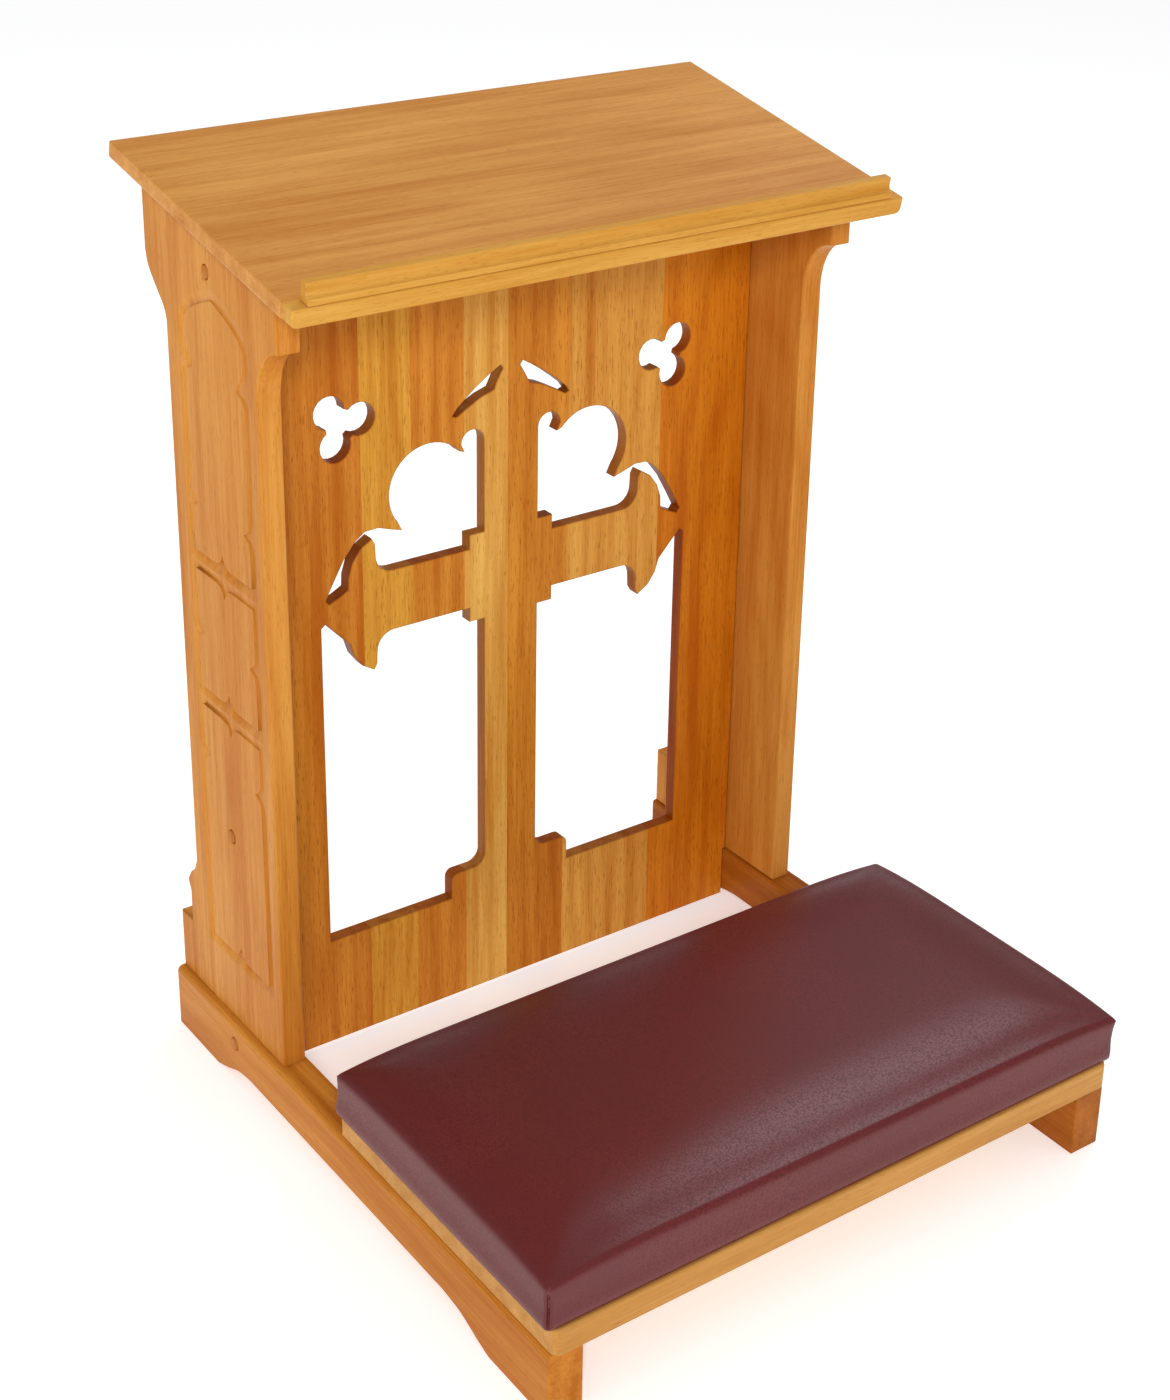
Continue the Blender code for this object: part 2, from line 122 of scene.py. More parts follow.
def add_node(tree, kind, values, **settings):
    """A shader node with its settings made, and its inputs set to values or to other nodes' outputs."""
    made = tree.nodes.new(kind)
    for key, value in settings.items():
        setattr(made, key, value)
    for key, value in values.items():
        if isinstance(value, bpy.types.NodeSocket):
            tree.links.new(value, made.inputs[key])
        else:
            made.inputs[key].default_value = value
    return made


def maths(tree, operation, first, second, clamp=False):
    """The result of one sum on two values."""
    made = add_node(tree, "ShaderNodeMath", {0: first, 1: second}, operation=operation)
    made.use_clamp = clamp
    return made.outputs[0]


def remapped(tree, value, low, high, to_low=0.0, to_high=1.0):
    """A value carried from one range to another, and held at its ends."""
    limits = {0: value, 1: low, 2: high, 3: to_low, 4: to_high}
    return add_node(tree, "ShaderNodeMapRange", limits).outputs[0]


def mixed(tree, factor, first, second, blend="MIX"):
    """Two colours mixed by a factor."""
    values = {0: factor, 6: first, 7: second}
    return add_node(tree, "ShaderNodeMix", values, data_type="RGBA", blend_type=blend).outputs[2]


def stretched(tree, vector, along):
    """Squeezes a pattern's coordinates along Z, which draws the pattern out along the grain."""
    scale = (1.0, 1.0, along)
    return add_node(tree, "ShaderNodeVectorMath", {0: vector, 1: scale}, operation="MULTIPLY").outputs[0]


def grain_noise(tree, place, along, scale, detail, roughness):
    """The outputs of a noise that is drawn out along the grain."""
    values = {
        "Vector": stretched(tree, place, along), "Scale": scale, "Detail": detail, "Roughness": roughness,
    }
    return add_node(tree, "ShaderNodeTexNoise", values).outputs


def new_group(name, inputs, outputs):
    """An empty node group with these sockets, and its input and output nodes."""
    group = bpy.data.node_groups.new(name, "ShaderNodeTree")
    for label, kind in inputs:
        group.interface.new_socket(label, in_out="INPUT", socket_type=f"NodeSocket{kind}")
    for label, kind in outputs:
        group.interface.new_socket(label, in_out="OUTPUT", socket_type=f"NodeSocket{kind}")
    return group, group.nodes.new("NodeGroupInput").outputs, group.nodes.new("NodeGroupOutput").inputs


def make_wood_grain():
    """Close-grained plantation wood: fine fibres, soft streaks, growth rings round a heart, and pores.
    Place is in metres with Z along the grain, and Board is a number that shifts the pattern."""
    group, given, out = new_group(
        "wood_grain",
        [("Place", "Vector"), ("Board", "Float"), ("Heart", "Vector"), ("Light", "Color"),
         ("Dark", "Color"), ("Figure", "Float"), ("Pores", "Float")],
        [("Colour", "Color"), ("Roughness", "Float"), ("Relief", "Float")],
    )
    shift = add_node(
        group, "ShaderNodeVectorMath", {0: (3.1, 1.7, 7.3), "Scale": given["Board"]}, operation="SCALE"
    ).outputs[0]
    place = add_node(
        group, "ShaderNodeVectorMath", {0: given["Place"], 1: shift}, operation="ADD"
    ).outputs[0]
    fibres = grain_noise(group, place, *FIBRES)[0]
    streaks = grain_noise(group, place, *STREAKS)[0]
    clouds = grain_noise(group, place, *CLOUDS)[0]
    pores = grain_noise(group, place, *PORES)[0]
    wander = grain_noise(group, place, *WANDER)[1]
    wander = add_node(
        group, "ShaderNodeVectorMath", {0: wander, 1: (0.5, 0.5, 0.5)}, operation="SUBTRACT"
    ).outputs[0]
    from_heart = add_node(
        group, "ShaderNodeVectorMath", {0: given["Place"], 1: given["Heart"]}, operation="SUBTRACT"
    ).outputs[0]
    warped = add_node(
        group, "ShaderNodeVectorMath",
        {0: wander, 1: (WANDER_REACH,) * 3, 2: stretched(group, from_heart, RINGS_DRAWN_OUT)},
        operation="MULTIPLY_ADD",
    ).outputs[0]
    rings = add_node(
        group, "ShaderNodeTexWave", {"Vector": warped, "Scale": RING_SCALE, "Distortion": 0.0},
        wave_type="RINGS", rings_direction="SPHERICAL", wave_profile="SIN",
    ).outputs[1]
    rings = maths(group, "POWER", rings, RING_SHARPNESS)
    fine = maths(group, "MULTIPLY", fibres, FIBRE_SHARE)
    soft = maths(group, "ADD", maths(group, "MULTIPLY", streaks, STREAK_SHARE), fine)
    soft = remapped(group, soft, 0.38, 0.62)
    cloudy = remapped(group, clouds, 0.3, 0.7, -0.05, 0.38)
    tone = maths(group, "ADD", maths(group, "MULTIPLY", soft, 0.62), cloudy)
    tone = maths(group, "ADD", tone, maths(group, "MULTIPLY", rings, given["Figure"]), clamp=True)
    colour = mixed(group, tone, given["Light"], given["Dark"])
    dashes = remapped(group, pores, 0.60, 0.72)
    deep = mixed(group, 1.0, given["Dark"], PORE_TINT, "MULTIPLY")
    colour = mixed(group, maths(group, "MULTIPLY", dashes, given["Pores"], clamp=True), colour, deep)
    group.links.new(colour, out["Colour"])
    group.links.new(remapped(group, soft, 0.0, 1.0, 0.30, 0.40), out["Roughness"])
    pits = maths(group, "MULTIPLY", dashes, 0.5)
    relief = maths(group, "SUBTRACT", maths(group, "MULTIPLY", fibres, 0.6), pits)
    group.links.new(relief, out["Relief"])
    return group


wood_grain = make_wood_grain()

# How a piece is turned for the pattern, by the way its grain runs: Z along it and X across its face.
GRAIN_TURNS = {
    "X": (0, math.radians(90), 0),
    "Y": (math.radians(-90), 0, 0),
    "Z": (0, 0, 0),
    "Z_side": (0, 0, math.radians(90)),
}


def wood(
    name, grain, light, dark, figure=0.25, pores=0.35, heart=(0.4, 0.3, 0.0), staves=None, edge=None
):
    """A lacquered wood. staves is (low, high, [(start, colour, board), ...]), for a panel glued up from
    strips, with low and high across the pattern. edge is the tone multiplied into the marked edges: the
    extra stain that sawn end grain takes, together with painted shade."""
    look = bpy.data.materials.new(name)
    look.use_nodes = True
    tree = look.node_tree
    shader = tree.nodes["Principled BSDF"]
    place = add_node(tree, "ShaderNodeTexCoord", {}).outputs["Object"]
    turned = add_node(
        tree, "ShaderNodeMapping", {"Vector": place, "Rotation": GRAIN_TURNS[grain]},
        vector_type="POINT",
    ).outputs[0]
    values = {
        "Place": turned, "Board": 0.37 * len(name), "Heart": heart, "Light": light, "Dark": dark,
        "Figure": figure, "Pores": pores,
    }
    if staves:
        low, high, strips = staves
        across = add_node(tree, "ShaderNodeSeparateXYZ", {0: turned}).outputs[0]
        ramp = add_node(tree, "ShaderNodeValToRGB", {0: remapped(tree, across, low, high)})
        ramp.color_ramp.interpolation = "CONSTANT"
        spots = ramp.color_ramp.elements
        for number, (start, colour, board) in enumerate(strips):
            spot = spots[number] if number < 2 else spots.new((start - low) / (high - low))
            spot.position = (start - low) / (high - low)
            spot.color = (*colour, board)
        values["Light"] = ramp.outputs[0]
        values["Dark"] = mixed(tree, 1.0, ramp.outputs[0], dark, "MULTIPLY")
        values["Board"] = maths(tree, "MULTIPLY", ramp.outputs[1], 9.0)
    grained = add_node(tree, "ShaderNodeGroup", values, node_tree=wood_grain).outputs
    colour = grained["Colour"]
    if edge:
        # painted shade: the marked edges take the edge tone, partly the extra stain of end grain and
        # partly shade painted onto the openings' walls and rims
        sawn = add_node(tree, "ShaderNodeAttribute", {}, attribute_name="edge_stain_and_shade").outputs["Fac"]
        colour = mixed(tree, sawn, colour, mixed(tree, 1.0, colour, edge, "MULTIPLY"))
    tree.links.new(colour, shader.inputs["Base Color"])
    tree.links.new(grained["Roughness"], shader.inputs["Roughness"])
    bump = add_node(
        tree, "ShaderNodeBump", {"Strength": 0.25, "Distance": 0.0002, "Height": grained["Relief"]}
    )
    tree.links.new(bump.outputs[0], shader.inputs["Normal"])
    shader.inputs["Specular IOR Level"].default_value = LACQUER_GLOSS
    return look


for word, light, dark in (
    ("left", RAIL_LIGHT, RAIL_DARK),
    # painted shade: the right rail takes darker colours in place of the shadow it stands in
    ("right", SHADED_RIGHT_RAIL_LIGHT, SHADED_RIGHT_RAIL_DARK),
):
    rail_wood = wood(f"{word}_rail_wood", "Y", light, dark, figure=0.22, heart=(0.02, 0.0, 0.20))
    rail = eased(merged_copy(f"{word}_base_rail"), RAIL_EASE)
    add_piece(rail, f"{word}_rail_board", rail_wood, "honey_wood", f"{word}_base_rail")

# --- Side panels ---------------------------------------------------------------------------------
# Each side is glued up from upright boards and sawn to shape: a cove under the desk in front, an ogee
# behind it, and a cusped foot. A router has run three traceried panels, one over another, into its
# outer face.

SIDE_EASE = 0.0016
SIDE_DARK = (0.72, 0.50, 0.22, 1)
SIDE_STAVES = [
    (0.060, (0.68, 0.300, 0.055), 0.12),
    (0.128, (0.62, 0.215, 0.014), 0.55),
    (0.168, (0.58, 0.180, 0.010), 0.83),
    (0.196, (0.66, 0.235, 0.016), 0.31),
    (0.246, (0.62, 0.215, 0.014), 0.67),
]
TRACERY_MIDDLE = 0.1700
TRACERY_HALF = 0.0500
TRACERY_RUN = 0.0110  # from the steep inner wall out to where the cove meets the face
TRACERY_DEPTH = 0.0042
MILLIMETRE = 0.001
# A cusp on a straight side: how far along from its tip, and how far in, each flank turns.
CUSP = (
    (-13, 0), (-8.5, 0.7), (-5, 2.6), (-2.3, 6.0), (0, 10.5), (2.3, 6.0), (5, 2.6), (8.5, 0.7), (13, 0),
)
CUSP_SPREAD = 1.25  # how much wider a cusp is on the outer line
CUSP_ECHO = 0.32  # the part of its rise that the outer line follows
# One half of the ogee head, from the spring up to the apex, as inner and outer points.
HEAD_INNER = (
    (50.0, 652.0), (48.5, 657.0), (44.5, 660.0), (41.0, 661.5), (37.5, 663.5), (39.5, 668.0),
    (44.0, 673.0), (48.0, 679.5), (50.5, 686.5), (50.8, 693.5), (48.8, 700.0), (44.0, 706.5),
    (36.0, 712.0), (27.0, 716.5), (17.5, 720.5), (8.5, 724.0),
)
HEAD_OUTER = (
    (61.0, 652.0), (61.0, 656.5), (60.0, 660.0), (58.0, 663.0), (56.5, 666.0), (57.5, 669.5),
    (59.0, 674.0), (60.5, 680.0), (61.6, 687.0), (61.8, 695.0), (59.8, 703.5), (54.5, 712.0),
    (45.0, 719.5), (33.5, 726.0), (21.5, 731.0), (10.5, 735.0),
)
HEAD_APEX = ((0.0, 726.5), (0.0, 738.5))
# Each panel: its foot, the height of its side cusps, and its top, which the upper one has none of.
TRACERY_PANELS = ((131.0, 313.0, 358.0), (376.0, 428.0, 484.0), (502.0, 545.0, None))
# The cutter across the line, from the inner wall outwards: the part of the run, and the height there as
# a part of the groove's depth, which rises over the face at the end.
CUTTER_SECTION = (
    (0.0, -1.0), (0.16, -0.93), (0.38, -0.62), (0.62, -0.30), (0.84, -0.08), (1.0, 0.03)
)
CUTTER_LIFT = 0.001
SHALLOW = 0.35  # the part of its depth that the groove keeps along the front and the top of a panel
FADE_SPAN = 1.7  # how far the groove's direction turns, out of 2, before it has its full depth
FACING = 0.999
LEVEL_WITHIN = 1e-5


def cusped_side(start, end, tip):
    """Inner and outer points along a straight side that turns anticlockwise, with a cusp at its tip."""
    (ax, az), (bx, bz) = start, end
    length = math.hypot(bx - ax, bz - az)
    dx, dz = (bx - ax) / length, (bz - az) / length
    inward = (-dz, dx)
    run = TRACERY_RUN / MILLIMETRE
    pairs = []
    for along, rise in CUSP:
        foot = (tip[0] + dx * along, tip[1] + dz * along)
        wide = (tip[0] + dx * along * CUSP_SPREAD, tip[1] + dz * along * CUSP_SPREAD)
        inner = (foot[0] + inward[0] * rise, foot[1] + inward[1] * rise)
        out = rise * CUSP_ECHO - run
        pairs.append((inner, (wide[0] + inward[0] * out, wide[1] + inward[1] * out)))
    return pairs


def panel_corner(x, z, up):
    """A corner of the inner line, and the outer line's corner past it, above it or below."""
    run = TRACERY_RUN / MILLIMETRE
    return (x, z), (x + math.copysign(run, x), z + run * up)


def tracery_lines(foot, waist, top):
    """The inner and outer lines of one panel, as pairs of points in millimetres from its middle."""
    half = TRACERY_HALF / MILLIMETRE
    end = top or HEAD_INNER[0][1]
    lines = [panel_corner(-half, foot, -1)]
    lines += cusped_side((-half, foot), (half, foot), (0, foot))
    lines.append(panel_corner(half, foot, -1))
    lines += cusped_side((half, foot), (half, end), (half, waist))
    if top:
        lines.append(panel_corner(half, top, 1))
        lines += cusped_side((half, top), (-half, top), (0, top))
        lines.append(panel_corner(-half, top, 1))
    else:
        head = list(zip(HEAD_INNER, HEAD_OUTER))
        lines += head
        lines.append(HEAD_APEX)
        lines += [((-a, b), (-c, d)) for (a, b), (c, d) in reversed(head)]
    lines += cusped_side((-half, end), (-half, foot), (-half, waist))
    return lines


def groove_depth(inner, outer):
    """The router bites deepest where the line runs along the rear or the foot of a panel."""
    outward = ((outer[0] - inner[0]) - (outer[1] - inner[1])) / math.dist(inner, outer)
    bite = min(1.0, max(0.0, (outward + 1.0) / FADE_SPAN))
    return TRACERY_DEPTH * (SHALLOW + (1 - SHALLOW) * bite)


def tracery_cutter(lines, face, side):
    """A closed tube that follows a panel's line, and whose lower side is the groove."""
    shape = bmesh.new()
    rings = []
    for part, height in ((0.0, None), *CUTTER_SECTION, (1.0, None)):
        corners = []
        for inner, outer in lines:
            lift = CUTTER_LIFT if height is None else height * groove_depth(inner, outer)
            across = inner[0] + (outer[0] - inner[0]) * part
            up = inner[1] + (outer[1] - inner[1]) * part
            place = (face + side * lift, TRACERY_MIDDLE + across * MILLIMETRE, up * MILLIMETRE)
            corners.append(shape.verts.new(place))
        rings.append([shape.edges.new(pair) for pair in zip(corners, corners[1:] + corners[:1])])
    for ring, following in zip(rings, rings[1:] + rings[:1]):
        bmesh.ops.bridge_loops(shape, edges=ring + following)
    bmesh.ops.recalc_face_normals(shape, faces=shape.faces)
    mesh = bpy.data.meshes.new("tracery_cutter")
    shape.to_mesh(mesh)
    shape.free()
    cutter = bpy.data.objects.new("tracery_cutter", mesh)
    bpy.context.scene.collection.objects.link(cutter)
    return cutter


def ease_rim(shape, outward, width, layer=None):
    """Rounds the rim of the shape's outermost flat face on this side, and marks the rim in the layer."""
    level = max(vert.co.dot(outward) for vert in shape.verts)
    chosen = [
        face for face in shape.faces
        if face.normal.dot(outward) > FACING
        and abs(face.verts[0].co.dot(outward) - level) < LEVEL_WITHIN
    ]
    done = 0.0
    for step in range(EASE_STEPS):
        turn = math.radians(90 * step / EASE_STEPS)
        reach = width * (1 - math.cos(math.radians(90 * (step + 1) / EASE_STEPS)))
        ring = bmesh.ops.inset_region(
            shape, faces=chosen, thickness=reach - done, use_even_offset=True, use_boundary=True
        )["faces"]
        done = reach
        inside = {vert for face in chosen for vert in face.verts}
        rim = {vert for face in ring for vert in face.verts} - inside
        for vert in rim:
            vert.co -= outward * width * (1 - math.sin(turn))
            if layer:
                vert[layer] = 1 - math.sin(turn)


def cut_away(shape, cutters):
    """Takes the cutters out of the shape with exact Booleans, and returns the new shape."""
    mesh = bpy.data.meshes.new("uncut")
    shape.to_mesh(mesh)
    shape.free()
    blank = bpy.data.objects.new("uncut", mesh)
    bpy.context.scene.collection.objects.link(blank)
    for cutter in cutters:
        taken = blank.modifiers.new("cut", "BOOLEAN")
        taken.operation = "DIFFERENCE"
        taken.solver = "EXACT"
        taken.object = cutter
    bpy.context.view_layer.update()
    graph = bpy.context.evaluated_depsgraph_get()
    cut = bmesh.new()
    cut.from_mesh(bpy.data.meshes.new_from_object(blank.evaluated_get(graph)))
    for old in (blank, *cutters):
        bpy.data.objects.remove(old)
    return cut


side_wood = wood(
    "honey_side_wood", "Z_side", RAIL_LIGHT, SIDE_DARK, figure=0.18, heart=(-0.15, 0.25, 0.1),
    staves=(0.060, 0.290, SIDE_STAVES),
)
for word, side in (("left", -1), ("right", 1)):
    node = f"{word}_side_panel"
    low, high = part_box(node)
    outer = high.x if side > 0 else low.x
    panel = merged_copy(node)
    for direction in (-1, 1):
        ease_rim(panel, Vector((direction, 0, 0)), SIDE_EASE)
    cutters = [tracery_cutter(tracery_lines(*sizes), outer, side) for sizes in TRACERY_PANELS]
    add_piece(cut_away(panel, cutters), f"{word}_traceried_side", side_wood, "honey_wood", node)

# --- Pierced panel -------------------------------------------------------------------------------
# The upright panel between the sides is edge-glued from narrow staves of differing colour, then
# pierced with a cross between two windows, and its sawn edges are sanded round. They are coloured
# darker: partly the extra stain they take, and partly painted shade on the walls and rims of the
# openings.

FRET_EASE = 0.0014
FRET_DARK = (0.66, 0.44, 0.20, 1)
# tone of the sawn edges: extra stain, together with painted shade on the openings' walls and rims
FRET_EDGE_STAIN_AND_SHADE = (0.52, 0.38, 0.32, 1)
FRET_STAVES = [
    (-0.260, (0.68, 0.275, 0.035), 0.42),
    (-0.152, (0.76, 0.395, 0.055), 0.15),
    (-0.102, (0.70, 0.290, 0.038), 0.77),
    (-0.050, (0.80, 0.450, 0.100), 0.93),
    (-0.005, (0.66, 0.265, 0.030), 0.61),
    (0.057, (0.74, 0.370, 0.070), 0.28),
    (0.160, (0.70, 0.240, 0.013), 0.05),
]

fret_wood = wood(
    "amber_fret_wood", "Z", RAIL_LIGHT, FRET_DARK, figure=0.22, pores=0.6, heart=(0.240, 0.12, 0.30),
    staves=(-0.260, 0.260, FRET_STAVES), edge=FRET_EDGE_STAIN_AND_SHADE,
)
fret = merged_copy("fret_panel")
# the rounded rims and the walls of the openings are marked for the darker edge tone, which is partly
# painted shade
edge_stain_and_shade = fret.verts.layers.float.new("edge_stain_and_shade")
for direction in (-1, 1):
    ease_rim(fret, Vector((0, direction, 0)), FRET_EASE, edge_stain_and_shade)
add_piece(fret, "pierced_panel", fret_wood, "amber_wood", "fret_panel")

# --- Desk ----------------------------------------------------------------------------------------
# The sloping top is three boards glued edge to edge with their grain running across. A square nosing
# is glued along its front, and a coved ledge on that keeps a book from sliding off.

DESK_EASE = 0.0010
NOSING_EASE = 0.0016
NOSING_LEAST_ANGLE = 30
LEDGE_EASE = 0.0007
DESK_DARK = (0.70, 0.54, 0.34, 1)
DESK_STAVES = [
    (0.000, (0.80, 0.430, 0.100), 0.24),
    (0.120, (0.82, 0.425, 0.096), 0.58),
    (0.225, (0.72, 0.345, 0.086), 0.90),
]
NOSING_LIGHT = (0.70, 0.370, 0.075, 1)
NOSING_DARK = (0.52, 0.210, 0.016, 1)

desk_wood = wood(
    "honey_desk_wood", "X", RAIL_LIGHT, DESK_DARK, figure=0.12, heart=(0.45, 0.14, 0.10),
    staves=(0.000, 0.320, DESK_STAVES),
)
desk = eased(merged_copy("desk_board"), DESK_EASE)
add_piece(desk, "sloping_desk", desk_wood, "honey_wood", "desk_board")
nosing_wood = wood("honey_nosing_wood", "X", NOSING_LIGHT, NOSING_DARK, figure=0.12)
nosing = eased(merged_copy("desk_nosing"), NOSING_EASE, NOSING_LEAST_ANGLE)
add_piece(nosing, "front_nosing", nosing_wood, "honey_wood", "desk_nosing")
ledge = eased(merged_copy("book_ledge"), LEDGE_EASE)
add_piece(ledge, "coved_ledge", nosing_wood, "honey_wood", "book_ledge")

# --- Kneeler board -------------------------------------------------------------------------------
# One paler board lies across the front ends of the rails and is screwed down to them. It shows only as
# an edge under the pad, with its corners and edges sanded round.

KNEELER_EASE = 0.0020
KNEELER_LIGHT = (0.64, 0.330, 0.095, 1)
KNEELER_DARK = (0.46, 0.200, 0.040, 1)

kneeler_wood = wood("pale_kneeler_wood", "X", KNEELER_LIGHT, KNEELER_DARK, figure=0.12)
kneeler = eased(merged_copy("kneeler_board"), KNEELER_EASE)
add_piece(kneeler, "kneeling_board", kneeler_wood, "pale_wood", "kneeler_board")

# --- Plugs, dowels and screws --------------------------------------------------------------------
# Turned wooden plugs hide the screws that hold the pierced panel, and stand a little proud of the
# surface. Dowels and zinc-plated screws join the rest, out of sight.

PLUG_STEPS = 32
PLUG_DOME = 0.0006
# The domed end of a plug, from its middle out: the part of the radius, and the drop there.
PLUG_PROFILE = ((0.0, 0.0), (0.55, 0.0001), (0.84, PLUG_DOME), (0.97, 3 * PLUG_DOME))
PLUG_LIGHT = (0.60, 0.250, 0.045, 1)
PLUG_DARK = (0.40, 0.130, 0.020, 1)
STEEL_DULL = (0.45, 0.45, 0.46, 1)
STEEL_BRIGHT = (0.62, 0.61, 0.58, 1)

plug_wood = wood("amber_plug_wood", "Z_side", PLUG_LIGHT, PLUG_DARK, figure=0.2)
for word, side in (("left", -1), ("right", 1)):
    for place in ("upper", "lower", "rail"):
        node = f"screw_plug_{word}_{place}"
        low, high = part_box(node)
        middle = (low + high) / 2
        radius = (high.z - low.z) / 2
        proud, inner = (high.x, low.x) if side > 0 else (low.x, high.x)
        profile = [(part * radius, proud - side * drop) for part, drop in PLUG_PROFILE]
        profile += [(profile[-1][0], inner), (0.0, inner)]
        plug = bmesh.new()
        points = [plug.verts.new((x, middle.y, middle.z + reach)) for reach, x in profile]
        edges = [plug.edges.new(pair) for pair in zip(points, points[1:])]
        bmesh.ops.spin(
            plug, geom=points + edges, cent=middle, axis=(1, 0, 0), angle=math.tau,
            steps=PLUG_STEPS, use_merge=True,
        )
        bmesh.ops.remove_doubles(plug, verts=plug.verts, dist=MERGE_WITHIN)
        bmesh.ops.recalc_face_normals(plug, faces=plug.faces)
        add_piece(plug, f"wooden_plug_{word}_{place}", plug_wood, "amber_wood", node)

steel = bpy.data.materials.new("zinc_plated_steel")
steel.use_nodes = True
steel_tree = steel.node_tree
steel_shader = steel_tree.nodes["Principled BSDF"]
steel_place = add_node(steel_tree, "ShaderNodeTexCoord", {}).outputs["Object"]
steel_values = {"Vector": steel_place, "Scale": 300.0}
steel_cloud = add_node(steel_tree, "ShaderNodeTexNoise", steel_values).outputs[0]
steel_tone = mixed(steel_tree, steel_cloud, STEEL_DULL, STEEL_BRIGHT)
steel_tree.links.new(steel_tone, steel_shader.inputs["Base Color"])
steel_matt = remapped(steel_tree, steel_cloud, 0.3, 0.7, 0.25, 0.45)
steel_tree.links.new(steel_matt, steel_shader.inputs["Roughness"])
steel_shader.inputs["Metallic"].default_value = 1.0
for node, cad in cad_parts.items():
    if "screw" in node and "plug" not in node:
        cad.data.materials.clear()
        cad.data.materials.append(steel)
    if "dowel" in node:
        cad.data.materials.clear()
        cad.data.materials.append(plug_wood)

# --- Pad -----------------------------------------------------------------------------------------
# A slab of foam on a plywood base, wrapped in grained maroon vinyl that is pulled down, folded at each
# corner and stapled underneath. Its top is crowned, and its right end leans out over the board.

PAD_CORNER = 0.0385  # of the top's corners over the pad's underside; its edges rise between them
PAD_SHRINK = 0.0008
PAD_SIDE_GRID = (96, 52, 5)
PAD_EDGE_ROUND = 0.0050
PAD_CORNER_ROUND = 0.0020
FOLD_DEPTH = 0.0050
EDGE_RISE = 0.0070
CROWN_RISE = 0.0110
EVEN_FILLING = 0.75  # the part of the swelling that the foam's own shape gives
EDGE_REACH = 0.11
CROWN_REACH = 0.09
EDGE_CURVE = 2.6
CROWN_CURVE = 2.4
PRESSURE = 4.0
VINYL_MASS = 0.3
STRETCH_STIFFNESS = 12
SHEAR_STIFFNESS = 6
BENDING_STIFFNESS = 4
STAPLED_PART = 0.3  # of the height, from the foot, that the simulation holds still
SWELL_FRAMES = 20
SIDE_SWELL = 0.0016
LEAN = 0.0060
LEAN_REACH = 0.05
FOLD_FADE = 0.0060
SQUARE_EDGE = math.radians(80)
LEVEL_RISE = 1e-4
GRAIN_BEND = 0.0016
VINYL_GLOSS = 0.28
VINYL_LIGHT = (0.150, 0.022, 0.022, 1)
# painted shade in the creases of the grain
VINYL_CREASE_SHADE = (0.105, 0.014, 0.015, 1)
VINYL_CLOUD = (0.115, 0.016, 0.017, 1)


def make_vinyl():
    """Grained maroon vinyl: fine pebbles with painted shade in the creases between them, and a soft
    gloss.
    """
    look = bpy.data.materials.new("maroon_vinyl")
    look.use_nodes = True
    tree = look.node_tree
    shader = tree.nodes["Principled BSDF"]
    place = add_node(tree, "ShaderNodeTexCoord", {}).outputs["Object"]
    bend_values = {"Vector": place, "Scale": 260.0, "Detail": 2.0}
    bend = add_node(tree, "ShaderNodeTexNoise", bend_values).outputs[1]
    bent = add_node(
        tree, "ShaderNodeVectorMath", {0: bend, 1: (GRAIN_BEND,) * 3, 2: place},
        operation="MULTIPLY_ADD",
    ).outputs[0]
    pebbles = add_node(
        tree, "ShaderNodeTexVoronoi", {"Vector": bent, "Scale": 560.0, "Smoothness": 0.5},
        feature="SMOOTH_F1",
    ).outputs[0]
    cloud_values = {"Vector": place, "Scale": 11.0, "Detail": 4.0}
    cloud = add_node(tree, "ShaderNodeTexNoise", cloud_values).outputs[0]
    crease = remapped(tree, pebbles, 0.25, 0.75)
    # painted shade: the creases between the pebbles take the darker colour
    colour = mixed(tree, crease, VINYL_LIGHT, VINYL_CREASE_SHADE)
    colour = mixed(tree, remapped(tree, cloud, 0.40, 0.62, 0.0, 0.6), colour, VINYL_CLOUD)
    tree.links.new(colour, shader.inputs["Base Color"])
    tree.links.new(remapped(tree, crease, 0.0, 1.0, 0.30, 0.40), shader.inputs["Roughness"])
    bump_values = {"Strength": 0.10, "Distance": 0.00025, "Height": pebbles}
    bump = add_node(tree, "ShaderNodeBump", bump_values, invert=True)
    tree.links.new(bump.outputs[0], shader.inputs["Normal"])
    shader.inputs["Specular IOR Level"].default_value = VINYL_GLOSS
    return look


def pad_block(low, high, top, margin):
    """A box between two corners, drawn in by margin, with its top at this height."""
    shape = bmesh.new()
    bmesh.ops.create_cube(shape, size=1.0)
    size = (high.x - low.x - 2 * margin, high.y - low.y - 2 * margin, top - low.z)
    bmesh.ops.scale(shape, vec=size, verts=shape.verts)
    middle = ((low.x + high.x) / 2, (low.y + high.y) / 2, (low.z + top) / 2)
    bmesh.ops.translate(shape, vec=middle, verts=shape.verts)
    return shape


def sewn_cover(low, high, top):
    """The cover before it swells, cut into an even grid, with its edges and upright corners rounded."""
    shape = pad_block(low, high, top, PAD_SHRINK)
    for axis, cells in enumerate(PAD_SIDE_GRID):
        along = [
            edge for edge in shape.edges
            if abs((edge.verts[0].co - edge.verts[1].co).normalized()[axis]) > 0.9
        ]
        bmesh.ops.subdivide_edges(shape, edges=along, cuts=cells - 1, use_grid_fill=True)
    for upright, width, steps in ((False, PAD_EDGE_ROUND, 4), (True, PAD_CORNER_ROUND, 2)):
        sharp = [
            edge for edge in shape.edges
            if edge.calc_face_angle(0) > SQUARE_EDGE
            and max(vert.co.z for vert in edge.verts) > low.z + LEVEL_RISE
            and (abs(edge.verts[0].co.z - edge.verts[1].co.z) > LEVEL_RISE) == upright
        ]
        bmesh.ops.bevel(
            shape, geom=sharp, offset=width, offset_type="OFFSET", segments=steps, profile=0.5,
            affect="EDGES", material=-1, clamp_overlap=True,
        )
    return shape


